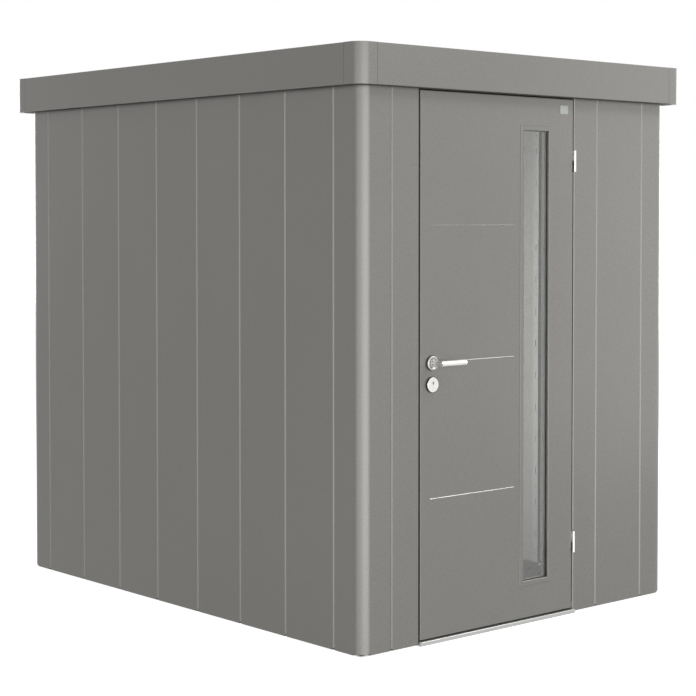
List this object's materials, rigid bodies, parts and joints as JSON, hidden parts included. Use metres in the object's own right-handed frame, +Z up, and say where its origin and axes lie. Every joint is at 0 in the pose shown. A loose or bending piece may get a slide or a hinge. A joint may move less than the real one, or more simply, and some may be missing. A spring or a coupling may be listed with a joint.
{
  "type": "metal tool shed",
  "caption": "Metal tool shed of folded vertical steel panels with rounded corners, a flat roof behind a deep fascia, and a hinged door with a tall narrow window and a lever handle.",
  "frame": {"origin": "on the ground, under the centre of the fascia's outline", "axes": "+Z up, +Y from the door wall to the back wall, +X to the right as one faces the door wall from outside"},
  "size_m": [1.8, 2.3775, 2.21],
  "materials": {
    "coated_steel": "satin metallic powder coat, quartz grey",
    "roof_steel": "satin powder coat",
    "frame_steel": "satin powder coat on the inner frame and rails",
    "floor_metal": "dull mill finish",
    "base_metal": "mill finish",
    "sill_metal": "satin anodised",
    "window_metal": "satin powder coat",
    "window_pane": "clear",
    "fittings_steel": "satin stainless",
    "hinge_steel": "bright zinc plated"
  },
  "bodies": {
    "shed": {"base_frame": "base_metal", "floor_panels": "floor_metal", "door_sill": "sill_metal", "corner_post_front_left": "coated_steel", "corner_post_front_right": "coated_steel", "corner_post_back_left": "coated_steel", "corner_post_back_right": "coated_steel", "left_wall_panel_1": "coated_steel", "left_wall_panel_2": "coated_steel", "left_wall_panel_3": "coated_steel", "left_wall_panel_4": "coated_steel", "left_wall_panel_5": "coated_steel", "left_wall_panel_6": "coated_steel", "left_wall_panel_7": "coated_steel", "right_wall_panel_1": "coated_steel", "right_wall_panel_2": "coated_steel", "right_wall_panel_3": "coated_steel", "right_wall_panel_4": "coated_steel", "right_wall_panel_5": "coated_steel", "right_wall_panel_6": "coated_steel", "right_wall_panel_7": "coated_steel", "back_wall_panel_1": "coated_steel", "back_wall_panel_2": "coated_steel", "back_wall_panel_3": "coated_steel", "back_wall_panel_4": "coated_steel", "back_wall_panel_5": "coated_steel", "front_wall_panel_left": "coated_steel", "front_wall_panel_right_1": "coated_steel", "front_wall_panel_right_2": "coated_steel", "slotted_rails": "frame_steel", "door_frame": "frame_steel", "roof_ring": "frame_steel", "purlins": "frame_steel", "roof_sheets": "roof_steel", "fascia_lengths": "coated_steel", "fascia_corners": "coated_steel", "frame_hinge_halves": "hinge_steel"},
    "door": {"door_leaf": "coated_steel", "door_inner_panel": "coated_steel", "window_frame": "window_metal", "window_glass": "window_pane", "door_hinge_halves": "hinge_steel", "door_lock": "fittings_steel"},
    "handle": {"door_handle": "fittings_steel"}
  },
  "joints": [
    {"name": "door_swing", "type": "hinge", "parent": "shed", "child": "door", "pos_m": [0.2815, -1.1365, 1.0493], "axis": [0, 0, 1], "range_deg": [0, 110]},
    {"name": "handle_turn", "type": "hinge", "parent": "door", "child": "handle", "pos_m": [-0.499, -1.111, 1.047], "axis": [0, 1, 0], "range_deg": [0, 45], "stiffness_Nm_per_rad": 1.5, "springref_deg": -20.05}
  ]
}
